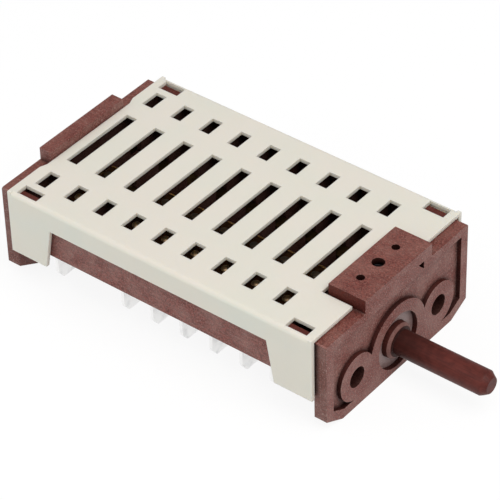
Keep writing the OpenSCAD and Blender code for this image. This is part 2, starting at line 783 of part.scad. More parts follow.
module spring_rivet() color(steel) {
    rod_z(-leaf_x, -rivet_y, leaf_z + leaf_t, leaf_z + leaf_t + rivet_head_h, rivet_d);
    rod_z(-leaf_x, -rivet_y, shelf_top - blade_t - join, leaf_z + leaf_t + join, shank_d);
    rod_z(-leaf_x, -rivet_y, shelf_top - blade_t - rivet_head_h, shelf_top - blade_t, tail_d);
}

// Bus bar along one side's contacts, and the arm and blade by which it leaves the case on the right
module bus_bar(side) color(bronze) {
    s = side == "left" ? -1 : 1;
    out_row = side == "left" ? bus_rows[1] : bus_rows[0];
    last_row = side == "left" ? row_count : contact_rows[len(contact_rows) - 1];
    arm_x = row_x(out_row) + blade_shift - blade_t / 2;
    low = floor_z - blade_out;
    difference() {
        union() {
            block(row_x(last_row) - pocket_l / 2 + bus_end_gap, row_x(1) + pocket_l / 2 - bus_end_gap,
                s * (contact_y - bus_w / 2), s * (contact_y + bus_w / 2), bus_z, bus_top);
            block(arm_x, arm_x + arm_w, s * contact_y, shelf_outer, bus_z, bus_top);
            along_x(arm_x) linear_extrude(blade_t) polygon([
                [blade_outer, low + blade_tip_h], [blade_outer - blade_tip_w, low],
                [blade_inner + blade_tip_w, low], [blade_inner, low + blade_tip_h],
                [blade_inner, floor_top + seat_gap], [shelf_inner, floor_top + seat_gap],
                [shelf_inner, bus_top], [shelf_outer, bus_top],
                [shelf_outer, floor_top + shoulder_h], [blade_outer, floor_top + shoulder_h]
            ]);
        }
        for (i = contact_rows) at_row(i, side)
            rod_z(-leaf_x, -contact_y, bus_z - past, bus_top + past, shank_d + 2 * rivet_gap);
    }
}

case_base();
front_plate();
cover();
control_shaft();
detent_wheel();
detent_plunger();
detent_spring();
for (k = [0 : len(contact_rows) - 1]) {
    i = contact_rows[k];
    cam(i, left_program[k], right_program[k]);
}
for (i = bus_rows) {
    spacer(i);
}
for (s = sides) {
    bus_bar(s);
    for (i = contact_rows) {
        shift = i == cranked_row && s == "left" ? cranked_shift : blade_shift;
        at_row(i, s) terminal(shift);
        at_row(i, s) contact_spring();
        at_row(i, s) moving_contact();
        at_row(i, s) fixed_contact();
        at_row(i, s) spring_rivet();
    }
}
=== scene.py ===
# %% [markdown]
# # An oven selector switch
#
# The switch behind an oven's knob is a row of cams on a shaft. A brown thermoset case holds the cams and
# their contacts, a cream cover with slots clips over it, and flat blades carry the wires. The solids come
# from a CAD model. This lesson gives them the rounded edges, domed rivets, coiled wire and finishes that
# the real switch has, and sets up the camera and light to photograph the result.
#
# The CAD model comes in as a fixed frame: one object for each solid, in metres, with its place in its
# mesh. Its box is measured at once.

# %% Load the CAD model
import math

import bpy
from mathutils import Matrix, Vector


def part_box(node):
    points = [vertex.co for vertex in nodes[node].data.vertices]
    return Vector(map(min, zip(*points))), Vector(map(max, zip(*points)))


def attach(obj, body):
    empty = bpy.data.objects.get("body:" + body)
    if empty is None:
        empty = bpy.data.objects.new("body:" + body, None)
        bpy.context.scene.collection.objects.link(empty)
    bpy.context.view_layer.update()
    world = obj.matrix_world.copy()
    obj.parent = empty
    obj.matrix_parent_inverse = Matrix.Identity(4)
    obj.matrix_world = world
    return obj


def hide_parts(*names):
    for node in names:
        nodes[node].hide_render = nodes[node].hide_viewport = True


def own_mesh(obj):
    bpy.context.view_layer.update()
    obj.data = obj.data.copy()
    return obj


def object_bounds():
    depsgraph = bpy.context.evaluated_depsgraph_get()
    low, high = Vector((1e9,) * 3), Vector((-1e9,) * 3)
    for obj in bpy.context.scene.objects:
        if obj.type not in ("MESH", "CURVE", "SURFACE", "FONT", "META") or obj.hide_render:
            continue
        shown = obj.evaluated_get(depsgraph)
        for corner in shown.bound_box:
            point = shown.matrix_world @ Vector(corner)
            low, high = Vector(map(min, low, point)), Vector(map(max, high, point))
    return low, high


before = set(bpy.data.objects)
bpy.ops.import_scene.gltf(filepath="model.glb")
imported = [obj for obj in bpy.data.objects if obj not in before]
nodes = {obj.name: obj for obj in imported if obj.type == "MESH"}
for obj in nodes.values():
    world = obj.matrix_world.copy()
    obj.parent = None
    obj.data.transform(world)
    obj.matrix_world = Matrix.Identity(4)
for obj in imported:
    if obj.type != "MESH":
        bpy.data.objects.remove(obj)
cad_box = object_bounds()
MM = 0.001
print("solids:", len(nodes), "size in mm:", [round(side / MM, 1) for side in cad_box[1] - cad_box[0]])

# %% [markdown]
# ## The camera
#
# The reference view looks down on the left front corner through a long lens, so that parallel edges
# almost stay parallel. A camera can be given by its coordinates and three turns, but those say little to
# the eye. Here it is described as a photographer would: the point it looks at, how far away it stands,
# its azimuth and elevation, and how much it is tilted. The same two helpers place the lamps later.

# %% Camera
LOOK_AT = Vector((-36.64, -2.06, 7.19)) * MM
CAMERA_DISTANCE = 593.65 * MM
CAMERA_AZIMUTH = math.radians(39.33)
CAMERA_ELEVATION = math.radians(39.3)
CAMERA_TILT = math.radians(-1.652)
LENS = 205.76
NEAREST_SEEN = 0.01


def direction(azimuth, elevation):
    """Unit vector from the object towards a place at that azimuth and elevation."""
    level = math.cos(elevation)
    return Vector((math.sin(azimuth) * level, -math.cos(azimuth) * level, math.sin(elevation)))


def aimed(place, target, tilt=0.0):
    """Matrix of a camera or lamp that stands at a place and looks at a target."""
    turn = (target - place).to_track_quat("-Z", "Y").to_matrix().to_4x4()
    return Matrix.Translation(place) @ turn @ Matrix.Rotation(tilt, 4, "Z")


camera_place = LOOK_AT + CAMERA_DISTANCE * direction(CAMERA_AZIMUTH, CAMERA_ELEVATION)
camera = bpy.data.objects.new("camera", bpy.data.cameras.new("camera"))
camera.data.lens = LENS
camera.data.clip_start = NEAREST_SEEN
camera.matrix_world = aimed(camera_place, LOOK_AT, CAMERA_TILT)
bpy.context.scene.collection.objects.link(camera)
bpy.context.scene.camera = camera
print("camera at, in mm:", [round(value / MM, 1) for value in camera_place])

# %% [markdown]
# ## Sums with sockets
#
# A finish is a small calculation: where the grain is high, the colour is paler and the surface rougher.
# A node tree says that with many boxes and wires, which are slow to draw and hard to read back. Here
# Python says it instead. A `Value` stands for an output socket, and each +, - or * adds the Math node
# that does the sum. `between` adds a Map Range node, which turns a slow change into a soft edge.


# %% A socket that does sums
class Value:
    """An output socket of a finish, with which Python can do sums."""

    def __init__(self, finish, socket):
        self.finish = finish
        self.socket = socket

    def maths(self, operation, *values):
        """The Math node of that operation, on values or plain numbers."""
        return self.finish.node("ShaderNodeMath", dict(enumerate(values)), operation=operation)

    def __add__(self, other):
        return self.maths("ADD", self, other)

    def __rsub__(self, other):
        return self.maths("SUBTRACT", other, self)

    def __mul__(self, other):
        return self.maths("MULTIPLY", self, other)

    __radd__ = __add__
    __rmul__ = __mul__

    def between(self, low, high):
        """0 below low, 1 above high, and a smooth step from one to the other."""
        ends = {"Value": self, "From Min": low, "From Max": high}
        return self.finish.node("ShaderNodeMapRange", ends, interpolation_type="SMOOTHSTEP")


# %% [markdown]
# ## A finish
#
# Every finish starts from Blender's Principled shader. What is the same all over a piece is set on the
# shader's own sockets, and only what changes over the surface is linked to them. Each pattern reads the
# Object coordinates, which are the place on the piece in metres. So a grain has its real size, needs no
# unwrapping, and moves with its piece. The method `node` adds any node: its settings come first, and then
# the values or links of its sockets. The methods after it are short names for what this switch needs.


# %% A finish
class Finish:
    """A material with a Principled shader, and a method that adds any other node."""

    def __init__(self, name, roughness=0.5, metallic=0.0, specular=0.5):
        self.material = bpy.data.materials.new(name)
        self.material.use_nodes = True
        self.tree = self.material.node_tree
        self.shader = self.tree.nodes["Principled BSDF"]
        self.shader.inputs["Roughness"].default_value = roughness
        self.shader.inputs["Metallic"].default_value = metallic
        self.shader.inputs["Specular IOR Level"].default_value = specular
        self.place = self.node("ShaderNodeTexCoord", output="Object")

    def feed(self, socket, value):
        """Links a value to a socket, or sets the socket to a plain number or colour."""
        if isinstance(value, Value):
            self.tree.links.new(value.socket, socket)
        else:
            socket.default_value = value

    def node(self, kind, inputs=None, output=0, **settings):
        """Adds a node of any kind, and gives back one of its outputs."""
        made = self.tree.nodes.new(kind)
        for name, value in settings.items():
            setattr(made, name, value)
        for name, value in (inputs or {}).items():
            self.feed(made.inputs[name], value)
        return Value(self, made.outputs[output])

    def set(self, **values):
        """Feeds the shader's sockets, such as base_color."""
        for name, value in values.items():
            self.feed(self.shader.inputs[name.replace("_", " ").title()], value)

    def stretched(self, scale):
        """The object's coordinates, multiplied along each axis."""
        return self.node("ShaderNodeMapping", {"Vector": self.place, "Scale": scale})

    def along(self, axis):
        """The place along X, Y or Z, in metres."""
        return self.node("ShaderNodeSeparateXYZ", {"Vector": self.place}, output=axis)

    def noise(self, size, detail, place=None):
        """Noise from 0 to 1, with blotches about that many metres across."""
        inputs = {"Vector": place or self.place, "Scale": 1 / size, "Detail": detail}
        return self.node("ShaderNodeTexNoise", inputs)

    def openness(self, reach):
        """1 on an open face, less in corners and hollows that are up to that many metres across."""
        inputs = {"Distance": reach}
        return self.node("ShaderNodeAmbientOcclusion", inputs, output="AO", only_local=True, samples=16)

    def blend(self, mask, first, second):
        """One colour where the mask is 0, another where it is 1."""
        inputs = {0: mask, 6: first, 7: second}
        return self.node("ShaderNodeMix", inputs, output=2, data_type="RGBA")

    def raise_surface(self, height, depth, rounding=0.0):
        """Bump from a height between 0 and 1 that stands for so many metres, with softened edges."""
        inputs = {"Height": height, "Distance": depth, "Strength": 1.0}
        if rounding:
            inputs["Normal"] = self.node("ShaderNodeBevel", {"Radius": rounding}, samples=4)
        self.set(normal=self.node("ShaderNodeBump", inputs))


# %% [markdown]
# ## Colours
#
# A picture editor gives a colour on a scale that suits the eye. A shader works with amounts of light,
# and on that scale the middle grey of the editor is only about a fifth. The curve between the two scales
# is a standard one, so each colour below can be written as an editor shows it.


# %% Colours
def paint(red, green, blue):
    """A colour as a picture editor gives it, from 0 to 255, in the shader's own scale."""

    def linear(value):
        value = value / 255
        return value / 12.92 if value <= 0.04045 else ((value + 0.055) / 1.055) ** 2.4

    return (linear(red), linear(green), linear(blue), 1.0)


print("middle grey as an amount of light:", round(paint(128, 128, 128)[0], 3))

# %% [markdown]
# ## Moulded thermoset
#
# The case and the front plate are pressed from a filled phenolic. It cures matt, with a sandy grain, pale
# specks of filler, faint streaks and broad clouds where the powder flowed together. One noise can't show
# all four, so each is a noise of its own size. Corners and holes get painted shade, a darker and redder
# colour: the Ambient Occlusion node measures how open each place is, and its answer doesn't depend on
# where the camera stands. `shade` paints the shadow of another piece into the colour, from a place on the
# part. The Bevel node rounds the light along every edge as the steel tool does.


# %% Thermoset
PAINTED_SHADE_REACH = 5 * MM
TOOL_ROUNDING = 0.2 * MM
# Colours of painted shade: in corners and holes, and in the shadow of another piece.
PAINTED_CREVICE_SHADE = paint(42, 13, 9)
PAINTED_SHADOW_SKIN = paint(40, 16, 12)


def thermoset(
    name, brown, dark, dusty, roughness=0.5, specular=0.35, grain=0.05 * MM, crevice_shade_weight=0.9, shade=None
):
    """A pressed skin with painted shade in its corners. shade(finish) is a mask of a painted shadow, if any.
    """
    finish = Finish(name, specular=specular)
    clouds = finish.noise(size=6 * MM, detail=3).between(0.3, 0.7)
    streaks = finish.noise(size=0.6 * MM, detail=4, place=finish.stretched((0.3, 1, 1))).between(0.5, 0.75)
    sand = finish.noise(size=0.35 * MM, detail=2).between(0.35, 0.65)
    specks = finish.noise(size=0.3 * MM, detail=1).between(0.6, 0.7)
    # Painted shade: darker and redder in corners and hollows, by how open each place is.
    painted_crevice_shade = (1 - finish.openness(PAINTED_SHADE_REACH)).between(0.12, 0.65)
    flowed = finish.blend(clouds * 0.3, finish.blend(sand, dark, brown), dusty)
    specked = finish.blend(specks * 0.6 + streaks * 0.35, flowed, dusty)
    # Painted shadow where shade(finish) is 1.
    if shade:
        specked = finish.blend(shade(finish) * 0.9, specked, PAINTED_SHADOW_SKIN)
    finish.set(
        base_color=finish.blend(painted_crevice_shade * crevice_shade_weight, specked, PAINTED_CREVICE_SHADE),
        roughness=roughness + sand * 0.2,
    )
    finish.raise_surface(sand + clouds * 0.4, depth=grain, rounding=TOOL_ROUNDING)
    return finish.material


# The upright faces: dust of their own, and paler and greyer than the top as a painted sheen.
thermoset_face = thermoset("thermoset", paint(140, 84, 76), paint(96, 47, 40), paint(172, 140, 131))
print("nodes in", thermoset_face.name, len(thermoset_face.node_tree.nodes))

# %% [markdown]
# ## Seven skins of one moulding
#
# That first finish is the skin of the upright faces. Its dust is the part's own, and it is paler and
# greyer than the top as a painted sheen. The same moulding shows six more. Its top faces are a redder
# copy, without that painted sheen, and its edges rub pale first. The narrow sides of the plates are
# browner as painted shade, and darker still beside the cover's legs, where their shadow is painted. The
# steep walls round a boss are painted dark and red, as the shade they stand in. The floor of the shaft's
# cup is smoother, and painted greyer as a reflection of the bright tent. Inside, where no light reaches,
# everything is painted nearly black as shade. Painting them by hand would take seven pictures. Here all
# seven come from the same function, with other colours.

# %% The other skins
PLATE_BACK = -3.1 * MM
LEG_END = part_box("cover")[0].z


def painted_leg_shadow(finish):
    """Painted shadow of a leg: 1 where the leg stands against the back of the plate, 0 a millimetre further
    on.
    """
    back_edge = finish.along("X").between(PLATE_BACK - 0.5 * MM, PLATE_BACK - 0.1 * MM)
    faded = 1 - finish.along("X").between(PLATE_BACK + 0.3 * MM, PLATE_BACK + 1.6 * MM)
    return back_edge * faded * finish.along("Z").between(LEG_END, LEG_END + 2 * MM)


# The top faces: a redder copy of the same skin, without the painted sheen of the upright faces.
thermoset_top = thermoset("thermoset_top", paint(127, 67, 58), paint(88, 38, 31), paint(154, 111, 100))
thermoset_edge = thermoset("thermoset_edge", paint(140, 88, 80), paint(106, 58, 50), paint(206, 178, 168))
# The narrow sides: a browner copy painted as the shade on them, with the legs' painted shadow.
thermoset_side = thermoset(
    "thermoset_side", paint(126, 77, 68), paint(86, 43, 36), paint(158, 130, 122), shade=painted_leg_shadow
)
# Walls of bosses and of the recess, the tab's sides and the posts' tops: painted shade, dark and red.
thermoset_wall_painted_shade = thermoset(
    "thermoset_wall_painted_shade", paint(93, 36, 28), paint(70, 24, 17), paint(112, 60, 50), specular=0.25
)
# Holes, hollows and inside faces: painted nearly black as shade.
thermoset_painted_shade = thermoset(
    "thermoset_painted_shade", paint(78, 48, 42), paint(54, 30, 25), paint(100, 74, 68), roughness=0.7, specular=0.1
)
# The cup's floor: smoother, and painted greyer as a reflection of the bright tent, with no painted crevice
# shade.
thermoset_cup_painted_sheen = thermoset(
    "thermoset_cup_painted_sheen",
    paint(154, 128, 124),
    paint(136, 106, 102),
    paint(166, 148, 145),
    roughness=0.3,
    grain=0.01 * MM,
    crevice_shade_weight=0.0,
)
print("the cover's legs end at z, in mm:", round(LEG_END / MM, 2))

# %% [markdown]
# ## Cream plastic
#
# The cover is a filled thermoplastic. From a step away it is one flat cream. Close to, the colour drifts a
# little between warm and greenish. Its sides get a copy that is painted greener, as the cooler light that
# falls on them. The skin is faintly pitted, so the gloss changes from place to place. Light enters the
# plastic and leaves it a millimetre further on. A plain colour would turn the walls of the slots dark.
# With subsurface scattering they stay pale, as on the real cover.


# %% Cover plastic
TRANSLUCENCY = 1.2 * MM


def cream_plastic(name, warm, green):
    """The cover's plastic, which drifts from a warm cream to a greenish one."""
    finish = Finish(name, specular=0.45)
    finish.set(subsurface_weight=0.4, subsurface_scale=TRANSLUCENCY, subsurface_radius=(1, 0.9, 0.75))
    drift = finish.noise(size=14 * MM, detail=2).between(0.35, 0.7)
    pits = finish.noise(size=0.5 * MM, detail=2)
    finish.set(
        base_color=finish.blend(drift, warm, green),
        roughness=0.42 + pits * 0.18,
    )
    finish.raise_surface(pits, depth=0.012 * MM, rounding=TOOL_ROUNDING)
    return finish.material


cover_plastic = cream_plastic("cover_plastic", paint(228, 222, 210), paint(225, 222, 209))
# The sides: a copy painted greener, as the cooler light that falls on them.
cover_side_painted_tint = cream_plastic("cover_side_painted_tint", paint(226, 223, 210), paint(222, 223, 211))
print("nodes in", cover_plastic.name, len(cover_plastic.node_tree.nodes))

# %% [markdown]
# ## Smooth dark plastic
#
# The shaft and the cams are injection moulded in a denser red-brown plastic, smoother than the case. Fine
# lines run along the shaft from its ejection. They could be cut as grooves, but they are finer than a
# hair, so a noise stretched along X does it. Corners get painted shade, and the shaft's foot is painted
# darker as the shade it stands in. So is its collar, apart from a thin lip with a painted highlight.


# %% Shaft and cam plastics
# The shaft's foot is painted darker as shade, fading out between these two places.
FOOT_DARK_TO = 2 * MM
FOOT_CLEAR_FROM = 13 * MM
FOOT_PAINTED_SHADE = paint(34, 14, 10)
PAINTED_CREVICE_BROWN = paint(30, 11, 8)


def painted_foot_shade(finish):
    """Painted shade of the shaft's foot: 1 at the foot, 0 from FOOT_CLEAR_FROM on."""
    return 1 - finish.along("X").between(FOOT_DARK_TO, FOOT_CLEAR_FROM)


def drawn_plastic(name, brown, dark, roughness, shade=None):
    """A smooth plastic with fine lines along X and painted shade in corners. shade(finish) masks more of it.
    """
    finish = Finish(name, specular=0.25)
    lines = finish.noise(size=0.3 * MM, detail=3, place=finish.stretched((0.06, 1, 1)))
    blotches = finish.noise(size=1.6 * MM, detail=3).between(0.35, 0.65)
    # Painted shade: darker in corners and hollows, by how open each place is.
    painted_crevice_shade = (1 - finish.openness(PAINTED_SHADE_REACH)).between(0.05, 0.6)
    drawn = finish.blend(lines.between(0.3, 0.7) * 0.5 + blotches * 0.5, dark, brown)
    if shade:
        drawn = finish.blend(shade(finish) * 0.6, drawn, FOOT_PAINTED_SHADE)
    finish.set(
        base_color=finish.blend(painted_crevice_shade * 0.8, drawn, PAINTED_CREVICE_BROWN),
        roughness=roughness + lines * 0.15,
    )
    finish.raise_surface(lines, depth=0.02 * MM, rounding=TOOL_ROUNDING)
    return finish.material


shaft_plastic = drawn_plastic(
    "shaft_plastic", paint(100, 43, 35), paint(74, 27, 21), roughness=0.42, shade=painted_foot_shade
)
# The collar: painted shade. Its lip: a painted highlight.
collar_painted_shade = drawn_plastic("collar_painted_shade", paint(80, 33, 25), paint(56, 20, 14), roughness=0.55)
collar_lip_painted_highlight = drawn_plastic("collar_lip_painted_highlight", paint(130, 92, 85), paint(106, 66, 59), roughness=0.45)
cam_plastic = drawn_plastic("cam_plastic", paint(60, 37, 33), paint(34, 18, 16), roughness=0.55)
print("nodes in", shaft_plastic.name, len(shaft_plastic.node_tree.nodes))

# %% [markdown]
# ## Metals
#
# Tinned blades, bronze springs, silver contacts and steel wire are all bare metal, and a metal's look is
# mostly its roughness. Sheet metal keeps the lines of the rolling mill, so its noise is stretched one way:
# along Z on the upright blades, along Y on the springs. Dull stains lie over the lines.


# %% Metals
def rolled_metal(name, bright, dull, roughness, along=(1, 1, 0.05), stain=1.8 * MM):
    """A metal with fine lines and stains. The smallest part of `along` is the way that the lines run."""
    finish = Finish(name, metallic=1.0)
    lines = finish.noise(size=0.12 * MM, detail=2, place=finish.stretched(along))
    stains = finish.noise(size=stain, detail=3).between(0.45, 0.8)
    finish.set(
        base_color=finish.blend(stains, bright, dull),
        roughness=roughness + lines * 0.12 + stains * 0.1,
    )
    finish.raise_surface(lines, depth=0.003 * MM)
    return finish.material


tin = rolled_metal("tinned_metal", paint(252, 252, 251), paint(242, 243, 243), roughness=0.4)
brass = rolled_metal("tarnished_brass", paint(84, 64, 40), paint(44, 32, 22), roughness=0.5)
# Bronze: dull with age, and darker still as painted shade in the slots.
bronze = rolled_metal("bronze", paint(92, 62, 38), paint(46, 30, 20), roughness=0.35, along=(1, 0.05, 1))
# Bends and edges of the springs: a painted glint.
bronze_painted_glint = rolled_metal(
    "bronze_painted_glint", paint(236, 190, 124), paint(70, 46, 26), roughness=0.25, stain=0.8 * MM
)
# Silver: tarnished, and darker still as painted shade in the slots.
silver = rolled_metal("silver_tarnish_and_shade", paint(110, 100, 88), paint(64, 54, 48), roughness=0.35)
rivet_steel = rolled_metal("rivet_steel", paint(166, 142, 112), paint(96, 78, 58), roughness=0.36)
# Spring steel painted nearly black, as the shade in the vent hole over the spring.
steel_painted_dark = rolled_metal("spring_steel", paint(48, 46, 50), paint(30, 28, 30), roughness=0.45)
print("nodes in", tin.name, len(tin.node_tree.nodes))

# %% [markdown]
# ## One piece at a time
#
# Blender's operators work on whatever is selected, and the CAD solids come in selected. An operator that
# was meant for one piece would change them all, so every step starts by choosing its piece. Every piece is
# also dressed in the same way: with its finish and the body that it moves with.


# %% Choosing and dressing a piece
def choose(piece):
    """Selects this object and no other, and makes it the active one."""
    bpy.ops.object.select_all(action="DESELECT")
    piece.select_set(True)
    bpy.context.view_layer.objects.active = piece


def apply_modifiers(piece):
    """Works all of a piece's modifiers into its mesh."""
    choose(piece)
    for modifier in list(piece.modifiers):
        bpy.ops.object.modifier_apply(modifier=modifier.name)


def dress(piece, body, slot, *materials):
    """Gives a piece its materials and the body that it moves with. slot is not used."""
    piece.data.materials.clear()
    for material in materials:
        piece.data.materials.append(material)
    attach(piece, body)


# %% [markdown]
# ## Rounded edges
#
# No moulded or stamped edge is sharp. The corners of a steel tool are rounded by 0.2 mm or so, and the thin
# bright line that they leave along every slot is what makes plastic look moulded. Each edge could be
# picked by hand, but a Bevel modifier finds them all by their angle. It stops before two cuts would meet,
# so beside a very short edge it cuts less than it is told, and the Bevel node in the finishes makes up for
# that in the light. Edges that come out with no length are merged afterwards. The Weighted Normal modifier
# then keeps the flat faces flat to the eye.

# %% Rounding the edges
SHARP = math.radians(35)
ROUNDING_STEPS = 3
NO_LENGTH = 0.0005 * MM


def round_edges(piece, radius, edge_slot=-1):
    """Rounds the sharp edges. The rounding gets the material of edge_slot, or its neighbours' at -1."""
    bevel = piece.modifiers.new("round", "BEVEL")
    bevel.width = radius
    bevel.segments = ROUNDING_STEPS
    bevel.limit_method = "ANGLE"
    bevel.angle_limit = SHARP
    bevel.material = edge_slot
    bevel.use_clamp_overlap = True
    apply_modifiers(piece)
    bpy.ops.object.mode_set(mode="EDIT")
    bpy.ops.mesh.select_all(action="SELECT")
    bpy.ops.mesh.remove_doubles(threshold=NO_LENGTH)
    bpy.ops.mesh.dissolve_degenerate(threshold=NO_LENGTH)
    bpy.ops.object.mode_set(mode="OBJECT")
    flat = piece.modifiers.new("flat faces", "WEIGHTED_NORMAL")
    flat.keep_sharp = True
    apply_modifiers(piece)


# %% [markdown]
# ## The cover
#
# The cover shows most of all, and its solid already has the right shape. Modelling it again would only
# add errors, so its piece is a copy of the solid. The solid itself is never changed, because the checks
# rest on it. A solid's mesh is loose triangles: the copy's doubled points are merged and its flat faces
# joined, so that only real edges are left to round.

# %% A finished copy, and the cover as the first
SAME_POINT = 0.002 * MM
SAME_PLANE = math.radians(0.5)


def finished_copy(node, body, slot, *materials, radius, shape=None):
    """Puts a copy of a CAD node with rounded edges in the node's place.

    A second material is for the rounded edges alone. shape(piece) changes the copy before its edges are
    rounded.
    """
    piece = bpy.data.objects.new(node + "_finished", nodes[node].data.copy())
    bpy.context.scene.collection.objects.link(piece)
    choose(piece)
    bpy.ops.object.mode_set(mode="EDIT")
    bpy.ops.mesh.select_all(action="SELECT")
    bpy.ops.mesh.remove_doubles(threshold=SAME_POINT)
    bpy.ops.mesh.dissolve_limited(angle_limit=SAME_PLANE)
    bpy.ops.object.mode_set(mode="OBJECT")
    if shape:
        shape(piece)
    bpy.ops.object.shade_smooth()
    dress(piece, body, slot, *materials)
    round_edges(piece, radius, edge_slot=1 if len(materials) > 1 else -1)
    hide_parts(node)
    print(piece.name, "faces:", len(piece.data.polygons))
    return piece


cover = finished_copy("cover", "case", "cover_plastic", cover_plastic, radius=0.16 * MM)

# %% [markdown]
# ## The front plate, the case and the shaft
#
# The plate and the case get a second skin on their rounded edges, which rub pale first. The case's floor
# has a hole for every blade, and one face with so many holes doesn't divide cleanly into triangles. So it
# is cut between the rows first. Bisect does that without a change of shape: it only adds a ring of edges
# where a plane passes through the piece.

# %% The other large mouldings
FIRST_WALL = -11.36 * MM
ROW_PITCH = 7.87 * MM
WALLS = [FIRST_WALL - row * ROW_PITCH for row in range(9)]


def cut(piece, direction, places):
    """Adds a ring of edges round a piece at each place along a direction."""
    choose(piece)
    bpy.ops.object.mode_set(mode="EDIT")
    for place in places:
        bpy.ops.mesh.select_all(action="SELECT")
        bpy.ops.mesh.bisect(plane_co=Vector(direction) * place, plane_no=direction)
    bpy.ops.object.mode_set(mode="OBJECT")


def cut_between_rows(piece):
    cut(piece, (1, 0, 0), WALLS)


pressed = ("case", "thermoset", thermoset_face, thermoset_edge)
front_plate = finished_copy("front_plate", *pressed, radius=0.2 * MM)
case_base = finished_copy("case_base", *pressed, radius=0.14 * MM, shape=cut_between_rows)
control_shaft = finished_copy("control_shaft", "rotor", "shaft_plastic", shaft_plastic, radius=0.12 * MM)

# %% [markdown]
# ## Which face gets which skin
#
# The skins could be picked face by face with the mouse, but there are thousands of faces, and the work
# would be lost with every change of the model. A face can also be told apart by where it lies and which
# way it points. A short rule then finds all of its kind. The sides of the cover are the plainest case:
# faces that point sideways and lie at the cover's full width.

# %% A skin by rule, and the cover's sides
POINTS = 0.9  # a face points along an axis if that part of its normal is more than this
SLANTS = 0.7  # a rounded side still counts as a side down to this part
RUNS = 0.5  # a face runs along an axis if that part of its normal is less than this
COVER_SIDE_Y = 25.3


def skin(piece, material, chosen):
    """Gives a material to each face for which chosen(middle, normal) is true, with the middle in mm."""
    piece.data.materials.append(material)
    count = 0
    for polygon in piece.data.polygons:
        if chosen(polygon.center / MM, polygon.normal):
            polygon.material_index = len(piece.data.materials) - 1
            count += 1
    print(piece.name, material.name, "faces:", count)


def is_cover_side(middle, normal):
    return abs(normal.y) > SLANTS and abs(middle.y) > COVER_SIDE_Y


skin(cover, cover_side_painted_tint, is_cover_side)

# %% [markdown]
# ## Skins of the front plate
#
# The mounting face lies at x = 0. The field inside its rim and the shaft's cup lie a little more than a
# millimetre behind it, so a steep face in that span is the wall of a boss or of the recess. These walls and
# the tab's sides get painted shade, dark and red. The holes are painted nearly black as shade, and so is
# the edge at the plate's back, which the cover's end shades. The places are in mm: one number is a limit,
# and two are a span.

# %% The front plate's faces
SCREW_Y, SCREW_REACH, SCREW_MOUTH_X = 14, 2.6, -0.3
PLATE_SIDE_Y, FRONT_PLATE_X, REAR_WALL_X = 24.1, -3.2, -82
RECESS_WALL_X, RECESS_REACH_Y = (-1.3, -0.2), 23.4
CUP_FLOOR_X, CUP_REACH = (-1.3, -1.1), 8
BACK_EDGE_X, BACK_EDGE_Y, BACK_EDGE_Z = (-3.15, -2.5), 23.6, 14.6
TAB_FOOT_Z, TAB_SIDE_Y = 14, (11, 11.6)
TAB_HOLE_X, TAB_HOLE_REACH_Y = (-9, -1.5), 9


def within(value, span):
    """True between the two ends of a span."""
    return span[0] < value < span[1]


def off_axis(middle, y=0):
    """Distance from the shaft's axis, or from the nearer of two axes that lie that far to its sides."""
    return math.hypot(abs(middle.y) - y, middle.z)


def is_top(middle, normal):
    return normal.z > POINTS and middle.z > TAB_FOOT_Z


def is_narrow_side(middle, normal):
    on_a_plate = middle.x > FRONT_PLATE_X or middle.x < REAR_WALL_X
    return abs(normal.y) > POINTS and abs(middle.y) > PLATE_SIDE_Y and on_a_plate


def is_plate_wall(middle, normal):
    in_recess = within(middle.x, RECESS_WALL_X) and abs(middle.y) < RECESS_REACH_Y
    tab_side = abs(normal.y) > POINTS and within(abs(middle.y), TAB_SIDE_Y)
    return (in_recess and abs(normal.x) < RUNS) or tab_side


def is_plate_dark(middle, normal):
    screw_hole = off_axis(middle, SCREW_Y) < SCREW_REACH and middle.x < SCREW_MOUTH_X
    in_tab = middle.z > TAB_FOOT_Z and abs(middle.y) < TAB_HOLE_REACH_Y and within(middle.x, TAB_HOLE_X)
    outside = abs(middle.y) > BACK_EDGE_Y or middle.z > BACK_EDGE_Z
    return screw_hole or (in_tab and abs(normal.z) < RUNS) or (outside and within(middle.x, BACK_EDGE_X))


def is_cup_floor(middle, normal):
    return off_axis(middle) < CUP_REACH and normal.x > POINTS and within(middle.x, CUP_FLOOR_X)


skin(front_plate, thermoset_top, is_top)
skin(front_plate, thermoset_side, is_narrow_side)
skin(front_plate, thermoset_wall_painted_shade, is_plate_wall)
skin(front_plate, thermoset_painted_shade, is_plate_dark)
skin(front_plate, thermoset_cup_painted_sheen, is_cup_floor)

# %% [markdown]
# ## Skins of the case
#
# In the case, whatever lies within the outer walls and above the floor is inside, and is painted nearly
# black as shade. So are the rotor's trough and the sockets behind the screw holes, and the front edge of
# the rear wall, which the cover's end shades. The tops of the posts, which show through the cover's corner
# slots, get the painted shade of a boss's walls, dark and red.

# %% The case's faces
CHAMBER_X, CHAMBER_REACH_Y, CHAMBER_Z = (-81.7, -4), 22.6, (3, 15)
TROUGH_REACH = 6.8
SOCKET_END_X = -15
REAR_EDGE_X, REAR_EDGE_Y = (-82.4, -81.9), 23.9
POST_TOP_Z = (15, 15.3)


def is_case_dark(middle, normal):
    in_chamber = within(middle.x, CHAMBER_X) and within(middle.z, CHAMBER_Z)
    chamber = in_chamber and abs(middle.y) < CHAMBER_REACH_Y
    trough = off_axis(middle) < TROUGH_REACH
    screw_socket = off_axis(middle, SCREW_Y) < SCREW_REACH and middle.x > SOCKET_END_X
    rear_edge = within(middle.x, REAR_EDGE_X) and abs(middle.y) > REAR_EDGE_Y
    return chamber or trough or screw_socket or rear_edge


def is_post_top(middle, normal):
    return normal.z > POINTS and within(middle.z, POST_TOP_Z)


skin(case_base, thermoset_top, is_top)
skin(case_base, thermoset_side, is_narrow_side)
skin(case_base, thermoset_painted_shade, is_case_dark)
skin(case_base, thermoset_wall_painted_shade, is_post_top)

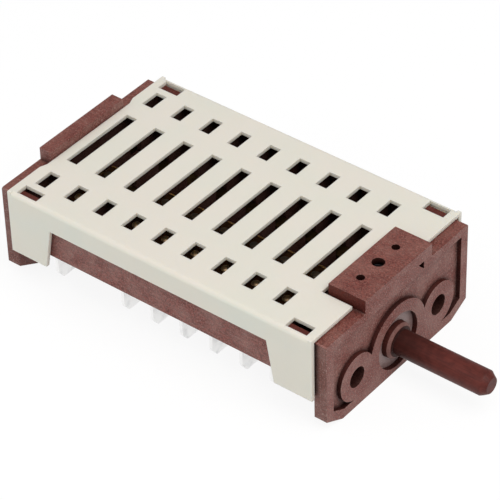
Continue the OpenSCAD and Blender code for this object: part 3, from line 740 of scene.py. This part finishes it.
# %% [markdown]
# ## Skins of the shaft
#
# The collar turns in the front plate. It is painted darker than the spigot as the shade it stands in,
# and its slanted lip is painted paler as a highlight.

# %% The collar's faces
COLLAR_RADIUS, COLLAR_BACK_X, COLLAR_FRONT_X = 3.9, -3, (0.5, 0.6)
LIP_X, LIP_SLANT = (0, 0.6), (0.5, 0.9)


def is_collar(middle, normal):
    around = off_axis(middle) > COLLAR_RADIUS and abs(normal.x) < RUNS and middle.x > COLLAR_BACK_X
    front = normal.x > POINTS and within(middle.x, COLLAR_FRONT_X)
    return around or front


def is_collar_lip(middle, normal):
    return within(normal.x, LIP_SLANT) and within(middle.x, LIP_X)


skin(control_shaft, collar_painted_shade, is_collar)
skin(control_shaft, collar_lip_painted_highlight, is_collar_lip)

# %% [markdown]
# ## Blades
#
# Blades are stamped from sheet and tinned. The punch rolls one edge over by a few hundredths of a
# millimetre, so their edges are crisp but not sharp. They are copies of their solids too, with a smaller
# rounding.

# %% Blades
STAMPED_EDGE = 0.07 * MM

for name in [name for name in nodes if name.startswith("terminal_")]:
    finished_copy(name, "case", "tinned_metal", tin, radius=STAMPED_EDGE)

# %% [markdown]
# ## Common bars
#
# The common bars are tinned only on the blades below the floor, and tarnish inside the case. A finish
# could change by height, but the two metals differ in every way. So a ring of edges is cut where the
# blades pass through the floor, and the faces above it get the other metal.

# %% Common bars
FLOOR_MIDDLE = 3.1 * MM


def cut_at_floor(piece):
    """A ring of edges where the blades pass through the case's floor, so that its two sides can differ."""
    cut(piece, (0, 0, 1), [FLOOR_MIDDLE])


def is_above_floor(middle, normal):
    return middle.z > FLOOR_MIDDLE / MM


for name in ("bus_bar_left", "bus_bar_right"):
    bar = finished_copy(name, "case", "tinned_metal", tin, radius=STAMPED_EDGE, shape=cut_at_floor)
    skin(bar, brass, is_above_floor)

# %% [markdown]
# ## Contact springs
#
# The springs are thin bronze strip, dull with age and painted darker still as the shade in the slots.
# Their bends and cut edges get a bright bronze as a painted glint, and through the long slots little more
# than those glints can be seen. The rounded edges get the bright metal as they are made, and the bends are
# then found by their slant.

# %% Contact springs
STRIP_EDGE = 0.04 * MM
FOOT_TOP_Z = 11.8
SLANT = (0.1, 0.8)


def is_bend(middle, normal):
    return middle.z > FOOT_TOP_Z and within(abs(normal.y), SLANT)


for name in [name for name in nodes if name.startswith("contact_spring_")]:
    leaf = finished_copy(name, "case", "bronze", bronze, bronze_painted_glint, radius=STRIP_EDGE)
    skin(leaf, bronze_painted_glint, is_bend)

# %% [markdown]
# ## Round pieces
#
# Rivets, contacts and the detent's plunger are round. A lathe turns them, or a press squeezes them between
# round dies, so a short list of radii and heights says everything. A profile could be spun round an axis.
# A stack of rings needs less: start with a filled circle, extrude it upwards, scale it to the next radius,
# and go on.

# %% A stack of rings
CREASE = math.radians(40)
ONE_POINT = 0.001 * MM


def stack_of_rings(name, axis, rings, sides):
    """A round piece on a vertical axis, from rings of (radius, height) in mm, the lowest first."""
    radius, height = rings[0]
    foot = Vector((axis.x, axis.y, height * MM))
    bpy.ops.object.select_all(action="DESELECT")
    bpy.ops.mesh.primitive_circle_add(vertices=sides, radius=radius * MM, fill_type="NGON", location=foot)
    piece = bpy.context.object
    piece.name = name
    bpy.ops.object.mode_set(mode="EDIT")
    bpy.ops.mesh.select_all(action="SELECT")
    for next_radius, next_height in rings[1:]:
        rise = (0, 0, (next_height - height) * MM)
        bpy.ops.mesh.extrude_region_move(TRANSFORM_OT_translate={"value": rise})
        ratio = next_radius / radius
        bpy.ops.transform.resize(value=(ratio, ratio, 1), center_override=foot)
        radius, height = next_radius, next_height
    bpy.ops.mesh.select_all(action="SELECT")
    bpy.ops.mesh.remove_doubles(threshold=ONE_POINT)
    bpy.ops.mesh.normals_make_consistent(inside=False)
    bpy.ops.object.mode_set(mode="OBJECT")
    bpy.ops.object.transform_apply(location=True, rotation=True, scale=True)
    bpy.ops.object.shade_smooth_by_angle(angle=CREASE)
    return piece


# %% [markdown]
# ## Rivets and contacts
#
# Each contact spring is riveted to its blade at one end and carries a silver contact near the other, over
# a second contact on the common bar. A rivet's head is domed by the die, and its tail is closed to a
# smaller dome under the blade. The 42 pieces are of three kinds. Each kind is modelled once on each side,
# at the first row, and copied to the other rows, so that all of a kind are alike.

# %% Rivets and contacts
ROWS = (1, 2, 3, 4, 5, 6, 8)
RIVET_Y = 15.0
CONTACT_Y = 5.5
RIVET_SIDES = 24
RIVET_RINGS = (
    (0.4, 11.1), (0.66, 11.18), (0.75, 11.36), (0.72, 11.6), (0.5, 11.6), (0.5, 12.7),
    (0.96, 12.7), (1.0, 12.8), (0.9, 12.98), (0.64, 13.13), (0.3, 13.2),
)
MOVING_RINGS = (
    (0.55, 12.0), (0.95, 12.05), (1.1, 12.16), (1.1, 12.4), (0.5, 12.4), (0.5, 12.7),
    (0.94, 12.7), (1.0, 12.78), (0.9, 12.92), (0.5, 13.0),
)
FIXED_RINGS = ((0.5, 10.1), (0.5, 10.9), (1.1, 10.9), (1.1, 11.14), (0.95, 11.25), (0.55, 11.3))


def spring_axis(side, row, y):
    """A vertical axis through the middle line of a contact spring, at that y in mm."""
    low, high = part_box(f"contact_spring_{side}_{row}")
    return Vector(((low.x + high.x) / 2, y * MM, 0))


def one_per_row(kind, side, y, rings, material):
    """The same round piece at every contact spring of one side, standing for the CAD node of that name."""
    pattern_axis = spring_axis(side, ROWS[0], y)
    pattern = stack_of_rings("pattern", pattern_axis, rings, RIVET_SIDES)
    for row in ROWS:
        piece = bpy.data.objects.new(f"{kind}_{side}_{row}", pattern.data.copy())
        piece.data.transform(Matrix.Translation(spring_axis(side, row, y) - pattern_axis))
        bpy.context.scene.collection.objects.link(piece)
        dress(piece, "case", "silver", material)
        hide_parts(f"{kind}_{side}")
    bpy.data.objects.remove(pattern)
    print(kind, side, "pieces:", len(ROWS))


for side, sign in (("left", -1), ("right", 1)):
    one_per_row("spring_rivets", side, sign * RIVET_Y, RIVET_RINGS, rivet_steel)
    one_per_row("moving_contacts", side, sign * CONTACT_Y, MOVING_RINGS, silver)
    one_per_row("fixed_contacts", side, sign * CONTACT_Y, FIXED_RINGS, silver)

# %% [markdown]
# ## The detent's plunger
#
# The click that the hand feels comes from a plunger, which a spring presses into the notches of a wheel on
# the shaft. It is turned on a lathe, with a round nose and a small seat for the spring on top, so it is
# one more stack of rings. It has more sides than a rivet, because it is larger.

# %% Plunger
DETENT_AXIS = Vector((-5.2, 0, 0)) * MM
PLUNGER_SIDES = 48
PLUNGER_RINGS = (
    (0.21, 5.27), (0.51, 5.37), (0.77, 5.53), (0.92, 5.68), (1.04, 5.85), (1.13, 6.04), (1.18, 6.24),
    (1.2, 6.45), (1.2, 7.65), (1.47, 7.82), (1.94, 8.11), (2.0, 8.2), (2.0, 11.15), (1.9, 11.25),
)
plunger = stack_of_rings("detent_plunger_turned", DETENT_AXIS, PLUNGER_RINGS, PLUNGER_SIDES)
dress(plunger, "plunger", "spring_steel", steel_painted_dark)
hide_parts("detent_plunger")
print("plunger faces:", len(plunger.data.polygons))

# %% [markdown]
# ## The detent's spring
#
# A coil spring is round wire wound on a rod. A curve with a thickness could draw it, but a circle of wire
# swept by a Screw modifier is closer to how it is wound: the circle is stood upright, moved out to the
# coil's radius, and carried round the axis as it climbs.

# %% Coil spring
COIL_RADIUS = 1.625 * MM
WIRE_RADIUS = 0.225 * MM
WIRE_SIDES = 12
LOWEST_WIRE, HIGHEST_WIRE = 11.525 * MM, 16.525 * MM
TURNS = 6
STEPS_IN_TURN = 36

bpy.ops.object.select_all(action="DESELECT")
bpy.ops.mesh.primitive_circle_add(vertices=WIRE_SIDES, radius=WIRE_RADIUS, fill_type="NOTHING")
spring = bpy.context.object
spring.name = "detent_spring_coiled"
bpy.ops.object.mode_set(mode="EDIT")
bpy.ops.mesh.select_all(action="SELECT")
bpy.ops.transform.rotate(value=math.radians(90), orient_axis="X", center_override=(0, 0, 0))
bpy.ops.transform.translate(value=(COIL_RADIUS, 0, LOWEST_WIRE))
bpy.ops.object.mode_set(mode="OBJECT")
coil = spring.modifiers.new("coil", "SCREW")
coil.iterations = TURNS
coil.screw_offset = (HIGHEST_WIRE - LOWEST_WIRE) / TURNS
coil.steps = coil.render_steps = STEPS_IN_TURN
coil.use_smooth_shade = True
apply_modifiers(spring)
print("spring faces:", len(spring.data.polygons))

# %% [markdown]
# ## The ends of the wire
#
# The swept wire is an open tube. Its only open edges are the two rings at its ends, so they are selected
# as the edges that aren't shared by two faces, and filled.

# %% Ends of the wire
WIRE_CREASE = math.radians(50)

bpy.ops.object.mode_set(mode="EDIT")
bpy.ops.mesh.select_all(action="SELECT")
bpy.ops.mesh.remove_doubles(threshold=ONE_POINT)
bpy.ops.mesh.select_all(action="DESELECT")
bpy.ops.mesh.select_mode(type="EDGE")
bpy.ops.mesh.select_non_manifold()
bpy.ops.mesh.fill_holes(sides=0)
bpy.ops.mesh.select_all(action="SELECT")
bpy.ops.mesh.normals_make_consistent(inside=False)
bpy.ops.transform.translate(value=DETENT_AXIS)
bpy.ops.object.mode_set(mode="OBJECT")
bpy.ops.object.shade_smooth_by_angle(angle=WIRE_CREASE)
dress(spring, "case", "spring_steel", steel_painted_dark)
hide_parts("detent_spring")
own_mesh(spring)

# %% [markdown]
# ## What stays as the CAD gives it
#
# Cams, spacers and the detent's wheel sit deep inside, where a rounded edge would never show. Their solids
# have the right shape, so they stay as they are and only get their finish.

# %% Inner pieces
inner_pieces = [name for name in nodes if name.startswith(("cam_", "spacer_", "detent_wheel"))]
for name in inner_pieces:
    nodes[name].data.materials.clear()
    nodes[name].data.materials.append(cam_plastic)
print("inner pieces:", len(inner_pieces))

# %% [markdown]
# ## The floor
#
# The switch lies on a white table. More light would turn a pale table white, but it would bleach the
# cream cover too. So the floor glows instead, and only for the rays that come straight from the camera,
# from a reflection or through something clear. The Light Path node tells these apart, and the glow lights
# nothing on the switch. The share that is left to the plain shader still takes a soft shadow.

# %% Floor
FLOOR_SIDE = 6.0
FLOOR_GAP = 0.02 * MM
GLOWING_SHARE = 0.87
GLOW = 1.03

bpy.ops.object.select_all(action="DESELECT")
bpy.ops.mesh.primitive_plane_add(size=FLOOR_SIDE, location=(0, 0, cad_box[0].z - FLOOR_GAP))
floor = bpy.context.object
floor.name = "floor"
table = Finish("floor", roughness=0.9, specular=0.1)
table.set(base_color=paint(240, 240, 240))
seen = table.node("ShaderNodeLightPath", output="Is Camera Ray")
mirrored = table.node("ShaderNodeLightPath", output="Is Glossy Ray")
through = table.node("ShaderNodeLightPath", output="Is Transmission Ray")
share = (seen + mirrored + through) * GLOWING_SHARE
plain = Value(table, table.shader.outputs["BSDF"])
glow = table.node("ShaderNodeEmission", {"Color": paint(255, 255, 255), "Strength": GLOW})
white = table.node("ShaderNodeMixShader", {0: share, 1: plain, 2: glow})
table.feed(table.tree.nodes["Material Output"].inputs["Surface"], white)
floor.data.materials.append(table.material)
print("floor at z, in mm:", round(floor.location.z / MM, 2))

# %% [markdown]
# ## The light
#
# Small parts are photographed in a light tent: cloth all round, and lamps outside it. The world gives the
# even light of the cloth. A large warm lamp, high on the right, gives every edge its bright and its dark
# side, and a weaker one on the left opens the shadows. Large lamps are used because a small one would
# draw hard shadows. The Standard view shows each colour about as it is written.

# %% Lamps and world
TENT_STRENGTH = 0.5
LAMP_DISTANCE = 0.7


def softbox(name, azimuth, elevation, side, watts, color=(1, 1, 1)):
    """A square lamp that is aimed at the switch, with its side in metres."""
    lamp = bpy.data.objects.new(name, bpy.data.lights.new(name, "AREA"))
    lamp.data.shape = "SQUARE"
    lamp.data.size = side
    lamp.data.energy = watts
    lamp.data.color = color
    place = LOOK_AT + LAMP_DISTANCE * direction(math.radians(azimuth), math.radians(elevation))
    lamp.matrix_world = aimed(place, LOOK_AT)
    bpy.context.scene.collection.objects.link(lamp)
    print(name, "lamp at, in mm:", [round(value / MM) for value in place])


softbox("key", azimuth=75, elevation=62, side=0.5, watts=2.8, color=(1.0, 0.965, 0.94))
softbox("fill", azimuth=-30, elevation=35, side=0.6, watts=1.0)

world = bpy.data.worlds.new("tent")
world.use_nodes = True
bpy.context.scene.world = world
cloth = world.node_tree.nodes["Background"]
cloth.inputs["Color"].default_value = paint(250, 252, 255)
cloth.inputs["Strength"].default_value = TENT_STRENGTH
bpy.context.scene.view_settings.view_transform = "Standard"
